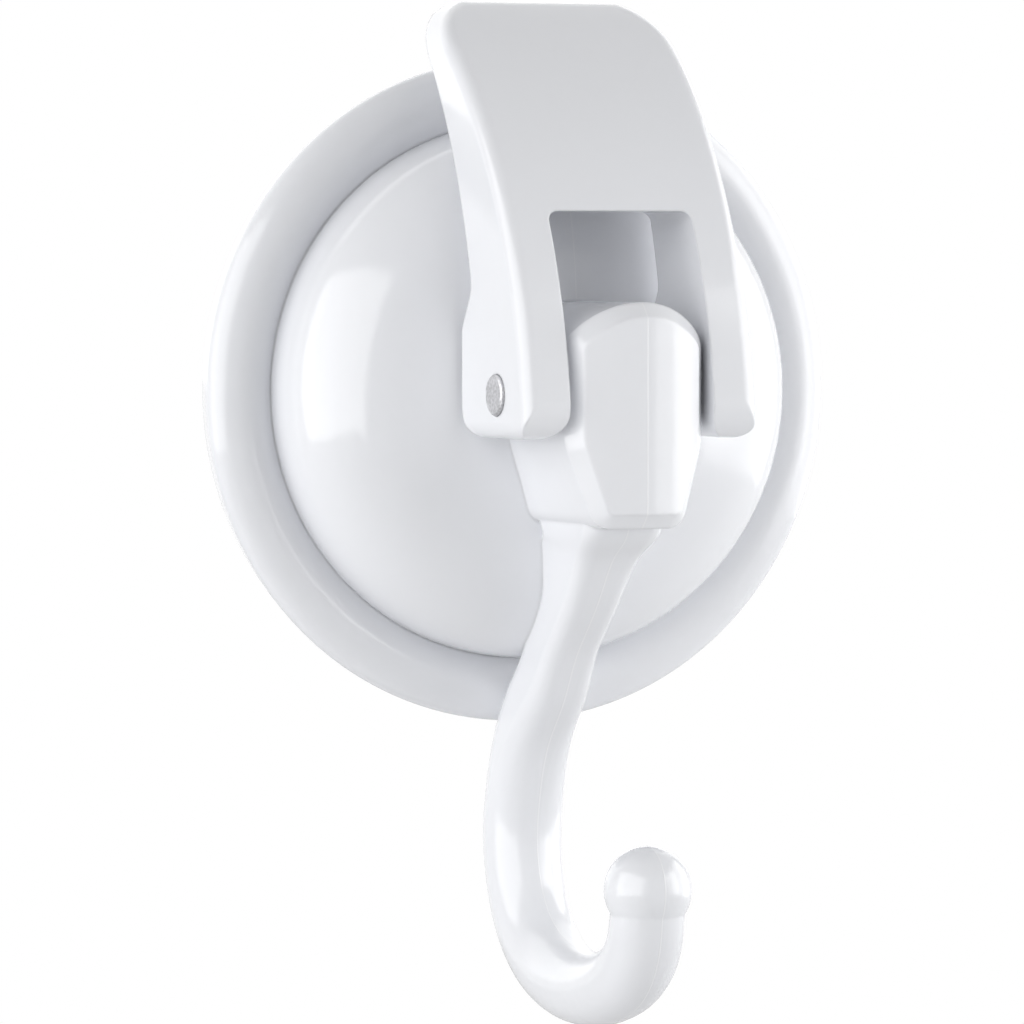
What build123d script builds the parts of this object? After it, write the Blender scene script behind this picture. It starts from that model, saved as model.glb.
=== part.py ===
"""Lever-lock suction cup hook.

A soft cup is drawn off the wall by a cam lever. The lever turns on a steel pin
that passes through the cup's stem, and its cams push the domed cover, which
carries the hook, back against the wall.

Frame: origin on the cup's axis in the plane of the wall, Z up, the wall on the
+Y side. Places are given as a depth, which is the distance in front of the wall
(Y = -depth), and a height Z. All sizes are millimetres.
"""
from build123d import *
import os
from math import cos, hypot, pi, radians, sin, sqrt, tan

os.makedirs("parts", exist_ok=True)

# Cover: a dome in a rolled rim
rim_radius = 30.0
rim_back_depth = 1.2          # the rim's back edge stands this far off the wall
rim_height = 5.0              # from the back edge to the ridge
rim_ridge_inset = 1.7         # from the outermost radius to the ridge
rim_roll = 2.2                # from the outermost radius forward to the ridge
rim_draft = 0.7
skirt_wall = 1.6
dish_drop = 1.2               # the dish falls this much from the ridge to the dome
dome_radius = 24.2
dome_height = 12.9            # above the foot of the dome
dome_power = 2.9              # superellipse: 2 is an ellipse, more is squarer
cover_wall = 2.2

# Block on the dome, which holds the stem and the pin
block_half = 6.5
block_top = 8.1
block_arch_rise = 3.4
block_waist = -4.2            # below this height the block narrows
block_bottom = -11.6
block_foot_half = 4.1
block_front_depth = 33.6
block_crown_radius = 12.0
block_bevel = 1.25
block_shoulder_corner = 2.4
block_waist_corner = 6.0
block_foot_corner = 2.0

# Arm, from the block's foot to the rod
arm_step = 3.9                # the arm starts this far behind the block's front
arm_overlap = 0.9             # and this far up inside the block
arm_root_half = 3.8
arm_neck_half = 2.55
arm_neck_depth = 6.2          # front to back at the neck
arm_leaves_dome = 5.4         # the neck's back is this far inside the dome's edge
arm_neck_drop = 2.1           # the neck's front is this much lower than its back
arm_corner = 1.5

# Rod, bend and ball
rod_radius = 3.55
rod_depth = 5.2               # where the rod is closest to the wall
rod_below_rim = 10.5          # the height of that place, under the rim's edge
back_bend = 12.2              # radius of the bend's middle line, wall side
front_bend = 7.5              # and on the ball's side
bend_rise = 0.6               # the front bend's bottom is this much higher
bend_radius = 3.25            # the rod's radius in the bend
ball_radius = 3.85
ball_depth = 33.7
ball_below_rod = 2.4

# Hinge pin and stem
pin_radius = 1.8
pin_depth = 26.1
pin_height = 0.0
pin_running_gap = 0.05
pin_end_out = 0.35            # each end stands this far out of the lever
pin_end_chamfer = 0.15
stem_radius = 4.0
stem_past_pin = 4.0
stem_chamfer = 0.8
stem_gap = 0.3
stem_disc_radius = 11.0
stem_disc_thickness = 2.0
stem_collar_radius = 6.0
stem_collar_height = 3.0

# Lever
lever_half = 11.0
lever_draft = 0.5
lever_top = 34.8
lever_front_radius = 48.0
lever_front_reach = 6.4       # from the pin to the front face, level with the pin
lever_tip_front = 9.3         # depth of the front face at the top
lever_tip_thickness = 2.2
lever_back_bulge = 1.7        # the back edge bows out this much from straight
lever_corner = 5.0
lever_wall = 2.3
lever_skin = 2.6
lever_edge = 1.3
window_half = 6.8
window_top = 16.0
window_corner = 0.9
web_thickness = 2.2
leg_below_pin = 3.8
leg_back_depth = 20.4         # back edge of a leg above the cam
leg_back_height = 9.2
leg_knee_drop = 3.6           # the cam's face starts this far below that place
leg_knee_round = 1.6
cam_gap = 0.4                 # between the cam and the dome, closed
cam_corner = 3.0
toe_corner = 3.0
leg_foot_corner = 1.4
leg_inner_corner = 2.2

# Movement
cover_travel = 1.8            # how far the cover comes off the wall when unlocked

# Suction cup
lip_radius = 28.4
lip_thickness = 0.9
lip_flat = 5.0
cup_hollow = 5.0              # depth of the hollow at the middle, drawn up
cup_middle_thickness = 4.2
cup_boss_radius = 13.5
cup_cover_gap = 1.0

SIDE = Plane.YZ


def at(depth, height):
    """Point of the side view."""
    return (-depth, height)


def superellipse(radius, height, foot):
    """Quarter outline of a dome, from its foot to the axis, in (radius, -depth)."""
    steps = 10
    points = []
    for i in range(steps + 1):
        angle = pi / 2 * i / steps
        r = radius * max(cos(angle), 0.0) ** (2 / dome_power)
        d = foot + height * sin(angle) ** (2 / dome_power)
        points.append((r, -d))
    points[-1] = (0, -(foot + height))
    return Spline(*points, tangents=[(0, -1), (-1, 0)])


def turned(lines):
    """Solid of revolution about the cup's axis from a closed outline."""
    return revolve(make_face(lines), Axis.Y)


def front_view(face, depth):
    """Place a face drawn in the front view at a depth."""
    return Plane.XZ.offset(depth) * face


ridge_depth = rim_back_depth + rim_height
dome_foot = ridge_depth - dish_drop
dome_top = dome_foot + dome_height
dome_inner_top = dome_top - cover_wall


block_start = dome_inner_top + cover_wall / 8
plate_front_depth = pin_depth + lever_front_reach + lever_edge
rod_height = -(rim_radius + rod_below_rim)


def dome_depth(height):
    """Depth of the dome's outer surface above or below the axis."""
    share = min(abs(height) / dome_radius, 1.0)
    return dome_foot + dome_height * (1 - share ** dome_power) ** (1 / dome_power)


def make_shell():
    back = -rim_back_depth
    waist = (rim_radius, -(ridge_depth - rim_roll))
    ridge = (rim_radius - rim_ridge_inset, -ridge_depth)
    foot = (dome_radius, -dome_foot)
    under = -(dome_foot - cover_wall)
    skirt_inner = rim_radius - rim_draft - skirt_wall
    inner_radius = dome_radius - cover_wall
    roll = Spline(waist, ridge, foot, tangents=[(0.15, -1), (-0.75, 0.65)])
    dome = superellipse(dome_radius, dome_height, dome_foot)
    inside = superellipse(inner_radius, dome_inner_top + under, -under)
    outline = [
        Line((rim_radius - rim_draft, back), waist),
        roll,
        dome,
        Line((0, -dome_top), (0, -dome_inner_top)),
        inside,
        Line((inner_radius, under), (skirt_inner, under - 0.5)),
        Line((skirt_inner, under - 0.5), (skirt_inner, back)),
        Line((skirt_inner, back), (rim_radius - rim_draft, back)),
    ]
    return turned(outline)


def make_block():
    """Arch-topped block with a crowned front and a bevel all round it."""
    arch = block_top - block_arch_rise
    outline = [
        Line((-block_foot_half, block_bottom), (block_foot_half, block_bottom)),
        Line((block_foot_half, block_bottom), (block_half, block_waist)),
        Line((block_half, block_waist), (block_half, arch)),
        ThreePointArc((block_half, arch), (0, block_top), (-block_half, arch)),
        Line((-block_half, arch), (-block_half, block_waist)),
        Line((-block_half, block_waist), (-block_foot_half, block_bottom)),
    ]
    face = make_face(outline)
    rounds = {arch: block_shoulder_corner, block_waist: block_waist_corner, block_bottom: block_foot_corner}
    for height, radius in rounds.items():
        face = fillet([v for v in face.vertices() if abs(v.Y - height) < 0.01], radius)
    body = extrude(front_view(face, block_start), amount=block_front_depth + 1 - block_start)
    wide = block_half * 1.5
    side = block_front_depth - block_crown_radius + sqrt(block_crown_radius ** 2 - wide ** 2)
    plan = make_face([
        Line((-wide, -side), (-wide, 0)),
        Line((-wide, 0), (wide, 0)),
        Line((wide, 0), (wide, -side)),
        ThreePointArc((wide, -side), (0, -block_front_depth), (-wide, -side)),
    ])
    body = body & extrude(Plane.XY.offset(3 * block_bottom) * plan, amount=6 * -block_bottom)
    front = body.faces().sort_by(Axis.Y)[0]
    return chamfer(front.edges(), block_bevel)


def arm_section(front, back, half, corner):
    """Rounded section of the arm, from a front point to a back point of the side view."""
    middle = ((front[0] + back[0]) / 2, (front[1] + back[1]) / 2)
    depth = hypot(front[0] - back[0], front[1] - back[1])
    across = ((front[0] - back[0]) / depth, (front[1] - back[1]) / depth)
    plane = Plane(
        origin=(0, -middle[0], middle[1]),
        x_dir=(1, 0, 0),
        z_dir=(0, across[1], across[0]),
    )
    return plane * RectangleRounded(2 * half, depth, min(corner, half * 0.96, depth * 0.48))


def between(start, end, share):
    """Point part of the way along a line."""
    return tuple(a + (b - a) * share for a, b in zip(start, end))


def arm_root_sections():
    """Sections from the block's foot down the dome to the neck, each sunk in the dome at its back."""
    back_end = -(dome_radius - arm_leaves_dome)
    neck_depth = dome_depth(back_end) + arm_neck_depth - cover_wall / 2
    front_start = (block_front_depth - arm_step, block_bottom + arm_overlap)
    front_end = (neck_depth, back_end - arm_neck_drop)
    back_start = block_bottom + arm_overlap + cover_wall / 8
    sections = []
    steps = 3
    for i in range(steps + 1):
        share = i / steps
        half = arm_neck_half + (arm_root_half - arm_neck_half) * (1 - share) ** 2
        height = back_start + (back_end - back_start) * share
        back = (dome_depth(height) - cover_wall / 2, height)
        sections.append(arm_section(between(front_start, front_end, share), back, half, arm_corner))
    return sections


def arm_path():
    """Middle line of the rod, from under the neck round the bend to the ball."""
    neck = -(dome_radius - arm_leaves_dome) - arm_neck_drop
    turn = sqrt(0.5)
    back_middle = (rod_depth + back_bend, rod_height)
    front_low = rod_height - back_bend + bend_rise
    front_middle = (ball_depth - front_bend - bend_rise, front_low + front_bend)
    edge = -rim_radius
    return SIDE * Spline(
        at(rod_depth + rod_radius * 2.8, neck - arm_neck_drop / 2),
        at(rod_depth + rod_radius * 1.83, edge + rod_radius),
        at(rod_depth + rod_radius * 0.82, edge - bend_rise),
        at(rod_depth + rod_radius * 0.22, (edge - bend_rise + rod_height) / 2),
        at(rod_depth, rod_height),
        at(back_middle[0] - back_bend * turn, back_middle[1] - back_bend * turn),
        at(back_middle[0], rod_height - back_bend),
        at(front_middle[0], front_low),
        at(front_middle[0] + front_bend * turn, front_middle[1] - front_bend * turn),
        at(ball_depth, rod_height - ball_below_rod),
    )


def make_arm():
    """Arm from the block's foot down to the rod, round the bend and up to the ball."""
    sections = arm_root_sections()
    path = arm_path()
    steps = 15
    round_from = 0.3
    for i in range(steps + 1):
        share = i / steps
        if share < round_from:
            blend = share / round_from
            half = arm_neck_half + (rod_radius - arm_neck_half) * blend
            depth = arm_neck_depth / 2 + (rod_radius - arm_neck_depth / 2) * blend
            corner = arm_corner + (half - arm_corner) * blend
        else:
            half = rod_radius + (bend_radius - rod_radius) * min(2 * (share - round_from), 1)
            depth = half
            corner = half
        plane = Plane(origin=path @ share, x_dir=(1, 0, 0), z_dir=path % share)
        section = RectangleRounded(2 * half, 2 * depth, min(corner, 0.97 * min(half, depth)))
        sections.append(plane * section)
    ball = Pos(0, -ball_depth, rod_height - ball_below_rod) * Sphere(ball_radius)
    return loft(sections) + ball


def make_hook_cover():
    """Dome, block, arm and ball in one moulding, bored for the stem and slotted for the pin."""
    body = make_shell() + make_block() + make_arm()
    bore = bored(stem_radius + stem_gap, 0, stem_end + stem_gap)
    body = body - bore
    collar = bored(stem_collar_radius + stem_gap, 0, stem_collar_top + stem_gap)
    body = body - collar
    slot_radius = pin_radius + stem_gap
    slot = SlotCenterToCenter(cover_travel, 2 * slot_radius)
    slot_middle = pin_depth - cover_travel / 2
    slot = SIDE.offset(-2 * block_half) * Pos(-slot_middle, pin_height) * slot
    return body - extrude(slot, amount=4 * block_half)


def bored(radius, back, front):
    """Cylinder on the cup's axis between two depths."""
    return Pos(0, -(back + front) / 2, 0) * Rot(90, 0, 0) * Cylinder(radius, front - back)


stem_end = pin_depth + stem_past_pin
disc_back = cup_hollow + (cup_middle_thickness - stem_disc_thickness) / 2
disc_front = disc_back + stem_disc_thickness
stem_collar_top = disc_front + stem_collar_height


def make_stem():
    """Stiff core of the cup: a disc held inside the cup, a collar and a stem bored for the pin."""
    core = bored(stem_radius, disc_front, stem_end)
    core = chamfer(core.edges().sort_by(Axis.Y)[0], stem_chamfer)
    stem = make_stem_foot() + core
    hole = Pos(0, -pin_depth, pin_height) * Rot(0, 90, 0) * Cylinder(pin_radius, 4 * stem_radius)
    return stem - hole


def make_pin():
    """Plain steel pin through the legs, the block and the stem."""
    length = 2 * (leg_half_at_pin + pin_end_out)
    pin = Pos(0, -pin_depth, pin_height) * Rot(0, 90, 0) * Cylinder(pin_radius, length)
    return chamfer(pin.edges().filter_by(GeomType.CIRCLE), pin_end_chamfer)


def make_cup():
    """Soft cup in its locked shape: a flat lip, a drawn-up hollow and a boss round the disc."""
    top = cup_hollow + cup_middle_thickness
    inner = lip_radius - lip_flat
    under_cover = rim_radius - rim_draft - skirt_wall - stem_gap
    shoulder = (dome_radius - cover_wall - cup_cover_gap, -(dome_foot - cover_wall - stem_gap))
    slope = (cup_boss_radius + (shoulder[0] - cup_boss_radius) * 0.3, -top * 0.76)
    outline = [
        Line((lip_radius, 0), (inner, 0)),
        Spline((inner, 0), (inner * 0.62, -cup_hollow * 0.78), (0, -cup_hollow), tangents=[(-1, 0), (-1, 0)]),
        Line((0, -cup_hollow), (0, -top)),
        Line((0, -top), (cup_boss_radius - cup_cover_gap, -top)),
        Spline((cup_boss_radius - cup_cover_gap, -top), slope, shoulder, tangents=[(1, 0), (1, 0.25)]),
        Line(shoulder, (under_cover, -1.5 * lip_thickness)),
        Line((under_cover, -1.5 * lip_thickness), (under_cover, -lip_thickness)),
        Line((under_cover, -lip_thickness), (lip_radius, -lip_thickness)),
        Line((lip_radius, -lip_thickness), (lip_radius, 0)),
    ]
    cup = turned(outline)
    return cup - make_stem_foot()


def make_stem_foot():
    """The stem's disc and collar, which fill their own shape in the cup."""
    disc = bored(stem_disc_radius, disc_back, disc_front)
    disc = fillet(disc.edges(), stem_disc_thickness * 0.3)
    return disc + bored(stem_collar_radius, disc_front - stem_disc_thickness / 8, stem_collar_top)


def arc_centre(low, high, radius):
    """Centre, on the wall side, of the arc of a radius through two points of the side view."""
    middle = between(low, high, 0.5)
    half = hypot(high[0] - low[0], high[1] - low[1]) / 2
    out = sqrt(radius ** 2 - half ** 2) / (2 * half)
    return (middle[0] - (high[1] - low[1]) * out, middle[1] + (high[0] - low[0]) * out)


leg_half_at_pin = lever_half + (plate_front_depth - pin_depth) * tan(radians(lever_draft))
leg_bottom = pin_height - leg_below_pin
front_at_pin = (pin_depth + lever_front_reach, pin_height)
front_centre = arc_centre(front_at_pin, (lever_tip_front, lever_top), lever_front_radius)


def front_curve(height, radius):
    """Depth of the lever's front curve, or of one parallel to it, at a height."""
    return front_centre[0] + sqrt(radius ** 2 - (height - front_centre[1]) ** 2)


def make_lever_profile(toe):
    """Side outline of the lever: curved front, bowed back, and cam feet, with or without the toe's round."""
    top = (front_curve(lever_top, lever_front_radius), lever_top)
    foot = (front_curve(leg_bottom, lever_front_radius), leg_bottom)
    middle_height = (lever_top + leg_bottom) / 2
    middle = (front_curve(middle_height, lever_front_radius), middle_height)
    cam_face = dome_depth(window_half) + cam_gap
    tip = (lever_tip_front - lever_tip_thickness, lever_top - lever_tip_thickness / 2)
    neck = (leg_back_depth, leg_back_height)
    back = between(tip, neck, 0.5)
    back = (back[0] + lever_back_bulge, back[1] + lever_back_bulge / 2)
    knee = (cam_face, leg_back_height - leg_knee_drop)
    outline = [
        ThreePointArc(at(*foot), at(*middle), at(*top)),
        Line(at(*top), at(tip[0], lever_top)),
        Line(at(tip[0], lever_top), at(*tip)),
        ThreePointArc(at(*tip), at(*back), at(*neck)),
        Line(at(*neck), at(*knee)),
        Line(at(*knee), at(cam_face, leg_bottom)),
        Line(at(cam_face, leg_bottom), at(*foot)),
    ]
    face = make_face(outline)
    corners = face.vertices()
    face = fillet([v for v in corners if near(v, cam_face, leg_bottom)], cam_corner)
    if toe:
        face = fillet([v for v in face.vertices() if near(v, *foot)], toe_corner)
    return fillet([v for v in face.vertices() if near(v, *knee) or near(v, *neck)], leg_knee_round)


def near(vertex, depth, height):
    """Whether a vertex of a side outline is at a place."""
    return hypot(vertex.X + depth, vertex.Y - height) < 0.01


def make_window():
    """Cutter for the window, which runs down between the legs and rounds their inner feet."""
    tall = window_top - leg_bottom
    opening = Pos(0, (window_top + leg_bottom) / 2) * Rectangle(2 * window_half, tall)
    opening = fillet(opening.vertices().sort_by(Axis.Y)[-2:], window_corner)
    below = Pos(0, leg_bottom - 1) * Rectangle(2 * window_half + 3 * leg_inner_corner, 2)
    cut = opening + below
    inner = [v for v in cut.vertices() if abs(v.Y - leg_bottom) < 0.01 and abs(v.X) < window_half + 0.01]
    cut = fillet(inner, leg_inner_corner)
    return extrude(front_view(cut, 0), amount=2 * pin_depth)


def make_hollow(plate_half):
    """Hollow behind the lever's curved skin, above the web over the window."""
    floor = window_top + web_thickness
    ceiling = lever_top - lever_skin
    inset = Rectangle(2 * (plate_half - lever_wall), ceiling - floor)
    inset = Pos(0, (floor + ceiling) / 2) * inset
    inset = fillet(inset.vertices(), 1.2)
    shaft = extrude(front_view(inset, 0), amount=2 * pin_depth)
    radius = lever_front_radius - lever_skin
    low = (front_curve(floor - 2, radius), floor - 2)
    high = (front_curve(ceiling + 1, radius), ceiling + 1)
    middle = (front_curve((floor + ceiling) / 2, radius), (floor + ceiling) / 2)
    behind = make_face([
        ThreePointArc(at(*low), at(*middle), at(*high)),
        Line(at(*high), at(0, ceiling + 1)),
        Line(at(0, ceiling + 1), at(0, floor - 2)),
        Line(at(0, floor - 2), at(*low)),
    ])
    return shaft & extrude(SIDE.offset(-lever_half) * behind, amount=2 * lever_half)


def make_lever():
    """Forked cam lever: a curved plate with a skirt, a window and two legs with cam feet."""
    deep = lever_tip_front - 2 * lever_tip_thickness
    height = lever_top - leg_bottom
    plate = Rectangle(2 * lever_half, height)
    plate = fillet(plate.vertices().sort_by(Axis.Y)[-2:], lever_corner)
    plate = fillet(plate.vertices().sort_by(Axis.Y)[:2], leg_foot_corner)
    plate = Pos(0, (lever_top + leg_bottom) / 2) * plate
    length = plate_front_depth - deep
    block = extrude(front_view(plate, plate_front_depth), amount=-length, taper=-lever_draft)
    side = SIDE.offset(-2 * lever_half)
    lever = block & extrude(side * make_lever_profile(toe=False), amount=4 * lever_half)
    front = lever.faces().filter_by(GeomType.CYLINDER).sort_by(SortBy.AREA)[-1]
    rims = [e for e in front.edges() if e.center().Z > leg_bottom + leg_foot_corner]
    lever = fillet(rims, lever_edge)
    lever = lever & extrude(side * make_lever_profile(toe=True), amount=4 * lever_half)
    lever = lever - make_window() - make_hollow(lever_half)
    hole = Pos(0, -pin_depth, pin_height) * Rot(0, 90, 0) * Cylinder(pin_radius + pin_running_gap, 4 * lever_half)
    return lever - hole


pieces = {
    "hook_cover": make_hook_cover(),
    "cup_stem": make_stem(),
    "hinge_pin": make_pin(),
    "suction_cup": make_cup(),
    "lever": make_lever(),
}
for name, piece in pieces.items():
    box = piece.bounding_box().size
    print(f"{name}: {piece.volume:.0f} mm3, {box.X:.1f} x {box.Y:.1f} x {box.Z:.1f} mm")
    export_step(piece, f"parts/{name}.step")
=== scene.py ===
# %% [markdown]
# A suction cup hook, dressed for a studio picture.
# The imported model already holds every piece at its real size, in metres: the domed cover with its
# hook, the cam lever, the pin, the cup's stem and the soft cup. Their shapes could be modelled again
# here, but the solids already have the right ones. So this lesson keeps those meshes, gives each one
# the finish that the moulded or cut thing really has, and then lights and frames them.

# %% Load the model
from math import atan, cos, degrees, radians, sin

import bpy
from mathutils import Matrix, Vector


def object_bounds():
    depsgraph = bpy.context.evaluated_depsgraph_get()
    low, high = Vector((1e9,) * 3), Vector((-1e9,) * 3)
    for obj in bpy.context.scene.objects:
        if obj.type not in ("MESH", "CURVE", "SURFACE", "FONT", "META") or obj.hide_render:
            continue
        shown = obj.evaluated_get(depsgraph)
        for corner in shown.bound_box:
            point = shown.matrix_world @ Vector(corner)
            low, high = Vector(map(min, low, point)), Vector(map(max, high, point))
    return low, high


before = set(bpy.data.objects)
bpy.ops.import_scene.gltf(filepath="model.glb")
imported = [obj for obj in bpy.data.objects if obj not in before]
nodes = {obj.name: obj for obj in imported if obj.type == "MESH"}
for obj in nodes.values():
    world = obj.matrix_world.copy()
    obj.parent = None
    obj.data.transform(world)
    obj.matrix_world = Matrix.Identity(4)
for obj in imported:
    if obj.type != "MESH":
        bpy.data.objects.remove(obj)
cad_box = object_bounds()
mm_per_metre = 1000.0
print("pieces:", ", ".join(sorted(nodes)))
print("size in mm:", [round(mm_per_metre * (high - low), 1) for low, high in zip(*cad_box)])

# %% [markdown]
# A finish is a web of shader nodes. It could be built by adding and linking each node by hand, but
# then a sum of three patterns takes a dozen lines. A small class wraps one output socket instead, so
# that adding or multiplying two of them adds the Math node that does it. Every other node comes from
# one method, which takes the node's type, its settings, and what goes into its sockets.

# %% A wire that can be calculated with
def plug(node, name, value):
    """Links a wire to a node's input, or sets that input to a plain value."""
    if isinstance(name, int):
        end = node.inputs[name]
    else:
        end = next(socket for socket in node.inputs if socket.name == name and socket.enabled)
    if isinstance(value, Wire):
        node.id_data.links.new(value.socket, end)
    else:
        end.default_value = value


class Wire:
    """One output socket of a node tree."""

    def __init__(self, tree, socket=None):
        self.tree = tree
        self.socket = socket

    def node(self, kind, settings=None, sockets=None, output=0):
        """Adds a node, sets it up, plugs in its inputs and returns one of its outputs."""
        made = self.tree.nodes.new(kind)
        for name, value in (settings or {}).items():
            setattr(made, name, value)
        for name, value in (sockets or {}).items():
            plug(made, name, value)
        return Wire(self.tree, made.outputs[output])

    def __add__(self, other):
        return self.node("ShaderNodeMath", {"operation": "ADD"}, {0: self, 1: other})

    def __sub__(self, other):
        return self.node("ShaderNodeMath", {"operation": "SUBTRACT"}, {0: self, 1: other})

    def __rsub__(self, other):
        return self.node("ShaderNodeMath", {"operation": "SUBTRACT"}, {0: other, 1: self})

    def __mul__(self, other):
        return self.node("ShaderNodeMath", {"operation": "MULTIPLY"}, {0: self, 1: other})

    def __abs__(self):
        return self.node("ShaderNodeMath", {"operation": "ABSOLUTE"}, {0: self})

    __radd__ = __add__
    __rmul__ = __mul__


print("wires can be added, subtracted and multiplied, and made positive")

# %% [markdown]
# Every finish here starts from the Principled shader, whose fixed numbers are set on its own
# sockets. What changes over the surface is a wire: it reaches only colour, roughness or the normal,
# because those are what a baked copy of the model can carry. The patterns are worked out from the
# place in space, in millimetres. An image would first have to be unwrapped onto the piece, and would
# show seams; a pattern in space has none, and its scale is the real one.

# %% Start a finish
def new_finish(name, fixed=None):
    """A material, its Principled shader, and the wire of the place on the object in millimetres."""
    material = bpy.data.materials.new(name)
    material.use_nodes = True
    tree = material.node_tree
    shader = tree.nodes["Principled BSDF"]
    for socket, value in (fixed or {}).items():
        plug(shader, socket, value)
    metres = Wire(tree).node("ShaderNodeTexCoord", output="Object")
    scaled = {"Vector": metres, "Scale": mm_per_metre}
    return material, shader, metres.node("ShaderNodeVectorMath", {"operation": "SCALE"}, scaled)


def noise(place, scale, detail, roughness=0.5):
    """Soft random values, about 0.5 on average. The scale is in waves per millimetre."""
    sockets = {"Vector": place, "Scale": scale, "Detail": detail, "Roughness": roughness}
    return place.node("ShaderNodeTexNoise", None, sockets)


def tint(mask, low, high):
    """A colour between two, by a mask. The first may be a wire already."""
    sockets = {"Factor": mask, "A": low if isinstance(low, Wire) else (*low, 1), "B": (*high, 1)}
    return mask.node("ShaderNodeMix", {"data_type": "RGBA"}, sockets, output=2)


def finish_surface(shader, colour, rough, height, strength, depth, rounded=None):
    """Feeds a finish into its shader. The height is bumped by up to a depth in metres."""
    sockets = {"Height": height, "Strength": strength, "Distance": depth}
    if rounded:
        sockets["Normal"] = rounded
    plug(shader, "Base Color", colour)
    plug(shader, "Roughness", rough)
    plug(shader, "Normal", height.node("ShaderNodeBump", None, sockets))


print("helpers ready: new_finish, noise, tint, finish_surface")

# %% [markdown]
# The cover and the lever are glossy moulded plastic, which is never one flat white. The melt cools
# with a faint waviness that bends the reflections, the pigment varies a little, and handling leaves
# slightly duller patches. Where the two halves of the mould meet, a hairline runs down the middle of
# the cover: it is raised a little, and its colour is painted whiter as a painted highlight along it.
# Edges on a steel mould are never quite sharp. They could be rounded in the mesh, but the
# Bevel node does it for the light alone, by a fraction of a millimetre, and leaves the mesh as it is.

# %% Glossy white plastic
plastic_white = (0.82, 0.83, 0.86)
# the seam's whiter colour is a painted highlight along the raised hairline
seam_highlight_white = (0.93, 0.93, 0.94)
thin_pigment = 0.975
drift_share, cloud_share = 0.6, 0.4
polish, dulling, grain_dulling = 0.07, 0.08, 0.03
fine_wave_share = 0.05
seam_share = 0.5
wave_strength, wave_depth = 0.35, 0.00006
bevel_rays = 4


def moulded_white(name, edge_round, seam_half=0.0):
    """White plastic, its edges rounded in metres. The mould's seam is given by half its width in mm; it
    is raised, and painted whiter as a painted highlight.
    """
    material, shader, place = new_finish(name, {"IOR": 1.6})
    cloudy = noise(place, 0.09, 2.0) * drift_share + noise(place, 0.9, 4.0) * cloud_share
    colour = tint(cloudy, [value * thin_pigment for value in plastic_white], plastic_white)
    rough = polish + dulling * noise(place, 0.35, 4.0) + grain_dulling * noise(place, 6.0, 2.0)
    height = noise(place, 0.22, 2.0) + noise(place, 2.2, 2.0) * fine_wave_share
    # The seam is a raised ridge in the bump, and its colour is painted whiter: a painted highlight along
    # it.
    if seam_half:
        side = abs(place.node("ShaderNodeSeparateXYZ", None, {"Vector": place}, output="X"))
        away = 1.0 - side * (1.0 / seam_half)
        seam_and_highlight = away.node("ShaderNodeMath", {"operation": "MAXIMUM"}, {0: away, 1: 0.0}) * seam_share
        height = height + seam_and_highlight
        colour = tint(seam_and_highlight, colour, seam_highlight_white)
    rounded = place.node("ShaderNodeBevel", {"samples": bevel_rays}, {"Radius": edge_round})
    finish_surface(shader, colour, rough, height, wave_strength, wave_depth, rounded)
    return material


cover_finish = moulded_white("cover_white_plastic", 0.0005, seam_half=0.09)
lever_finish = moulded_white("lever_white_plastic", 0.0003)
print("plastic finishes:", cover_finish.name, lever_finish.name)

# %% [markdown]
# The pin is steel wire cut to length, and only its two ends show. The cut leaves a torn grain that
# catches the light as bright and dark specks. Single dents could be modelled, but they are about a
# tenth of a millimetre. A Voronoi pattern, which has cells of uneven size, gives the specks, and
# fine noise over it roughens them. The specks are bumped, and also painted into the colour as
# painted glints and painted shade.

# %% Cut steel of the pin
# the dark and the bright steel colours are painted shade and painted glints of the cut's specks
shaded_speck_steel = (0.30, 0.30, 0.31)
glinting_speck_steel = (0.74, 0.74, 0.76)
speck_share, grain_share = 0.6, 0.5
steel_rough, steel_dulling = 0.38, 0.25
speck_strength, speck_depth = 0.6, 0.0001


def cut_steel(name):
    """Grey steel, speckled by the cut, with painted glints and painted shade in its colour."""
    material, shader, place = new_finish(name, {"Metallic": 1.0})
    cells = {"Vector": place, "Scale": 3.6, "Randomness": 1.0}
    grain = noise(place, 5.0, 6.0, 0.7)
    # the torn grain is bumped, and tinted from dark to bright as painted shade and painted glints
    torn_grain_and_glints = place.node("ShaderNodeTexVoronoi", None, cells) * speck_share + grain * grain_share
    rough = steel_rough + steel_dulling * grain
    finish_surface(shader, tint(torn_grain_and_glints, shaded_speck_steel, glinting_speck_steel), rough, torn_grain_and_glints, speck_strength, speck_depth)
    return material


pin_finish = cut_steel("pin_cut_steel")
print("metal finish:", pin_finish.name)

# %% [markdown]
# The cup is soft milky plastic. Light goes in and comes out a little further on, which could be
# worked out inside the whole volume, but that is slow and noisy. The shader's subsurface values do it
# near the skin, which is all that shows. The stem moulded into the cup is a stiffer plastic with a
# satin skin: duller than the cover, with a fine even grain.

# %% Soft cup and satin stem
milk_dark, milk_light = (0.74, 0.76, 0.79), (0.82, 0.84, 0.86)
milk_shine, milk_dulling = 0.22, 0.12
milk_strength, milk_depth = 0.3, 0.0001
satin_dark, satin_light = (0.76, 0.77, 0.79), (0.80, 0.81, 0.83)
satin_shine, satin_dulling = 0.42, 0.12
satin_strength, satin_depth = 0.3, 0.00003
soft_light = {"Subsurface Weight": 0.35, "Subsurface Scale": 0.0015, "Subsurface Radius": (1.0, 0.9, 0.8)}


def soft_milky(name):
    """Soft milky plastic with a smooth, slightly uneven skin."""
    material, shader, place = new_finish(name, {"IOR": 1.45, **soft_light})
    colour = tint(noise(place, 0.15, 3.0), milk_dark, milk_light)
    rough = milk_shine + milk_dulling * noise(place, 0.5, 3.0)
    finish_surface(shader, colour, rough, noise(place, 0.4, 3.0), milk_strength, milk_depth)
    return material


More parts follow.
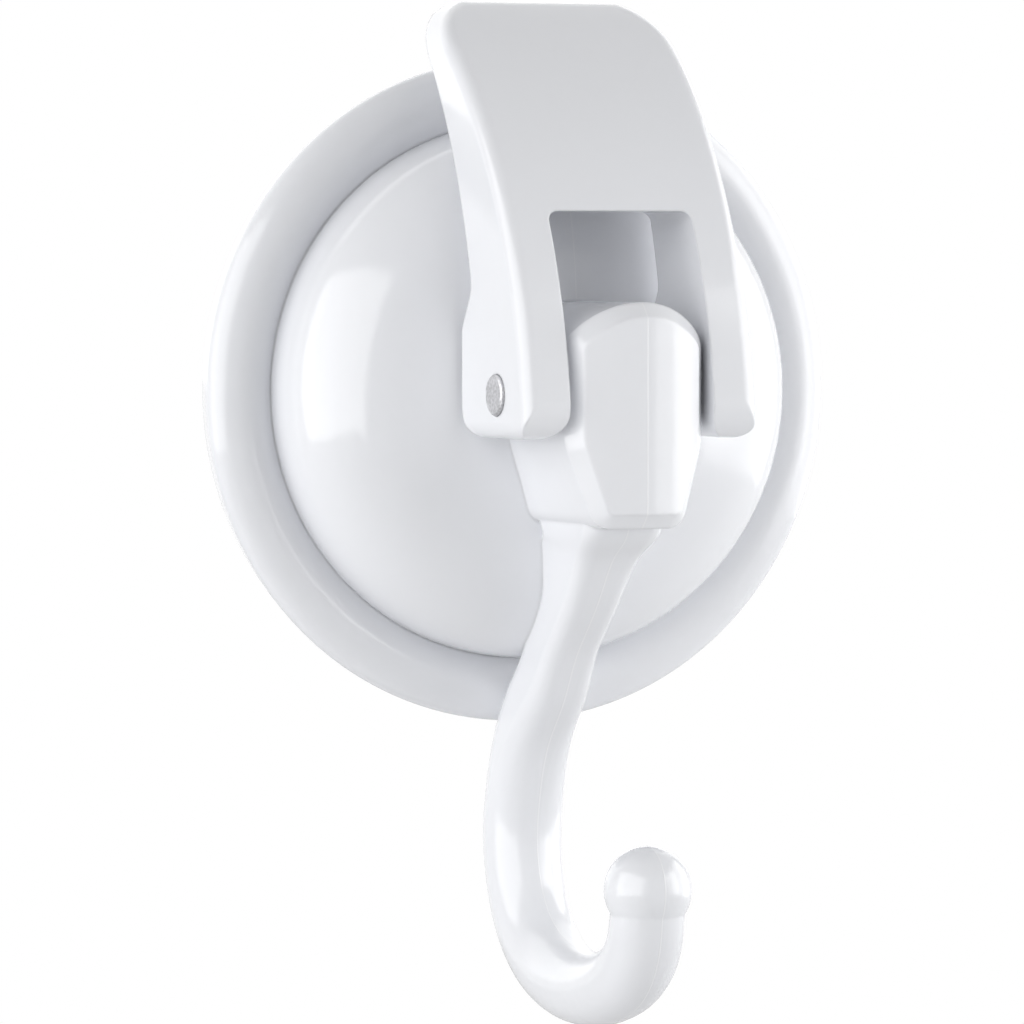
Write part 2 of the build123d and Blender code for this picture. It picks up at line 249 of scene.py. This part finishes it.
def satin_plastic(name):
    """Satin white plastic with a fine even grain."""
    material, shader, place = new_finish(name, {"IOR": 1.5})
    colour = tint(noise(place, 0.3, 3.0), satin_dark, satin_light)
    rough = satin_shine + satin_dulling * noise(place, 1.2, 4.0)
    finish_surface(shader, colour, rough, noise(place, 8.0, 4.0), satin_strength, satin_depth)
    return material


cup_finish = soft_milky("cup_milky_plastic")
stem_finish = satin_plastic("stem_satin_plastic")
print("inner finishes:", cup_finish.name, stem_finish.name)

# %% [markdown]
# Each piece of the hook is one mesh of one stuff, so each gets one material. The finish could be
# copied for every piece, but a finish made once and handed out stays easy to change.

# %% Put each finish on its piece
finishes = {
    "hook_cover": cover_finish,
    "lever": lever_finish,
    "hinge_pin": pin_finish,
    "cup_stem": stem_finish,
    "suction_cup": cup_finish,
}
for name, finish in finishes.items():
    piece = nodes[name]
    piece.data.materials.clear()
    piece.data.materials.append(finish)
    print(name, "has", finish.name)

# %% [markdown]
# The hook hangs as it would on a wall, with a pale floor well below it. A wall behind it would hide
# the cup from whoever walks round, so there is none. The white behind the hook comes from the world:
# what the camera and the reflections see of it is pure white, while its light on the hook is weak, so
# that the softboxes can shape the forms. The floor looks a little paler to the camera in the same way.

# %% Floor
floor_drop = 0.07
floor_half = 0.45
floor_rough = 0.8
floor_dark, floor_light = (0.80, 0.80, 0.80), (0.84, 0.84, 0.84)
no_glow, floor_glow = (0.0, 0.0, 0.0), (0.45, 0.45, 0.45)

floor_height = cad_box[0].z - floor_drop
bpy.ops.mesh.primitive_plane_add(size=2 * floor_half, location=(0, 0, floor_height))
floor = bpy.context.object
floor.name = "floor"
floor_paint, floor_shader, floor_place = new_finish("floor_pale_paint", {"Roughness": floor_rough})
plug(floor_shader, "Base Color", tint(noise(floor_place, 0.01, 2.0), floor_dark, floor_light))
camera_ray = floor_place.node("ShaderNodeLightPath", output="Is Camera Ray")
plug(floor_shader, "Emission Color", tint(camera_ray, no_glow, floor_glow))
plug(floor_shader, "Emission Strength", 1.0)
floor.data.materials.append(floor_paint)
print("floor at", round(mm_per_metre * floor_height), "mm")

# %% White world
fill_strength = 0.14

world = bpy.data.worlds.new("white_studio")
bpy.context.scene.world = world
world.use_nodes = True
sky = world.node_tree
backdrop = sky.nodes["Background"]
seen = Wire(sky).node("ShaderNodeLightPath", output="Is Camera Ray")
for also in ("Is Glossy Ray", "Is Transmission Ray"):
    ray = seen.node("ShaderNodeLightPath", output=also)
    seen = seen.node("ShaderNodeMath", {"operation": "MAXIMUM"}, {0: seen, 1: ray})
plug(backdrop, "Color", (1, 1, 1, 1))
plug(backdrop, "Strength", fill_strength + (1.0 - fill_strength) * seen)
print("world lights the hook at", fill_strength)

# %% [markdown]
# A large softbox stands on each side of the hook, a little above it. They brighten the faces that
# turn to the sides, so the front reads slightly darker and the round forms show, and the left one
# makes the tall highlight on the dome. A small one in front keeps the lever's face pale, and one
# behind is there for whoever turns the hook round. Small bright lamps could do the same work, but
# they would leave hard shadows and dots of light on the gloss.

# %% Softboxes
# name, azimuth and elevation it comes from in degrees (0 is straight in front, positive right),
# distance, width and height in metres, and watts
softboxes = (
    ("softbox_left", -74, 12, 0.6, 0.95, 0.64, 4.3),
    ("softbox_right", 80, 10, 0.6, 0.80, 0.64, 3.5),
    ("softbox_front", 48, 14, 0.6, 0.40, 0.50, 1.0),
    ("softbox_back", 175, 30, 0.7, 1.20, 0.80, 2.0),
)
centre = (cad_box[0] + cad_box[1]) / 2

for name, azimuth, elevation, distance, width, height, watts in softboxes:
    turn, rise = radians(azimuth), radians(elevation)
    toward = Vector((sin(turn) * cos(rise), -cos(turn) * cos(rise), sin(rise)))
    data = bpy.data.lights.new(name, "AREA")
    data.shape = "RECTANGLE"
    data.size = width
    data.size_y = height
    data.energy = watts
    lamp = bpy.data.objects.new(name, data)
    bpy.context.scene.collection.objects.link(lamp)
    lamp.location = centre + toward * distance
    lamp.rotation_euler = toward.to_track_quat("Z", "Y").to_euler()
    print(name, "at", [round(mm_per_metre * value) for value in lamp.location], "mm")

# %% [markdown]
# The camera stands left of the hook and just above its middle, far enough away that the round rim
# keeps its shape. It could be turned by eye until the picture looks right. Here its place was fitted
# to the outline of the rim instead: a distance, two angles, and the small offsets that put the hook
# in the middle of a square frame.

# %% Camera
view_yaw = radians(22.4)
view_pitch = radians(2.2)
view_distance = 0.6
frame_pixels = 1024
focal_pixels = 6622
rim_plane = -0.0045
aim_right = 0.00066
aim_up = 0.01109
nearest_seen = 0.01

forward = Vector((sin(view_yaw) * cos(view_pitch), cos(view_yaw) * cos(view_pitch), -sin(view_pitch)))
right = Vector((cos(view_yaw), -sin(view_yaw), 0))
up = right.cross(forward)
stand = Vector((0, rim_plane, 0)) - aim_right * right - aim_up * up - view_distance * forward
camera_data = bpy.data.cameras.new("studio_camera")
camera_data.sensor_width = 36
camera_data.lens = camera_data.sensor_width * focal_pixels / frame_pixels
camera_data.clip_start = nearest_seen
camera = bpy.data.objects.new("studio_camera", camera_data)
bpy.context.scene.collection.objects.link(camera)
camera.matrix_world = Matrix.Translation(stand) @ Matrix((right, up, -forward)).transposed().to_4x4()
bpy.context.scene.camera = camera
bpy.context.scene.view_settings.view_transform = "Standard"
print("camera field:", round(degrees(2 * atan(frame_pixels / 2 / focal_pixels)), 2), "degrees")
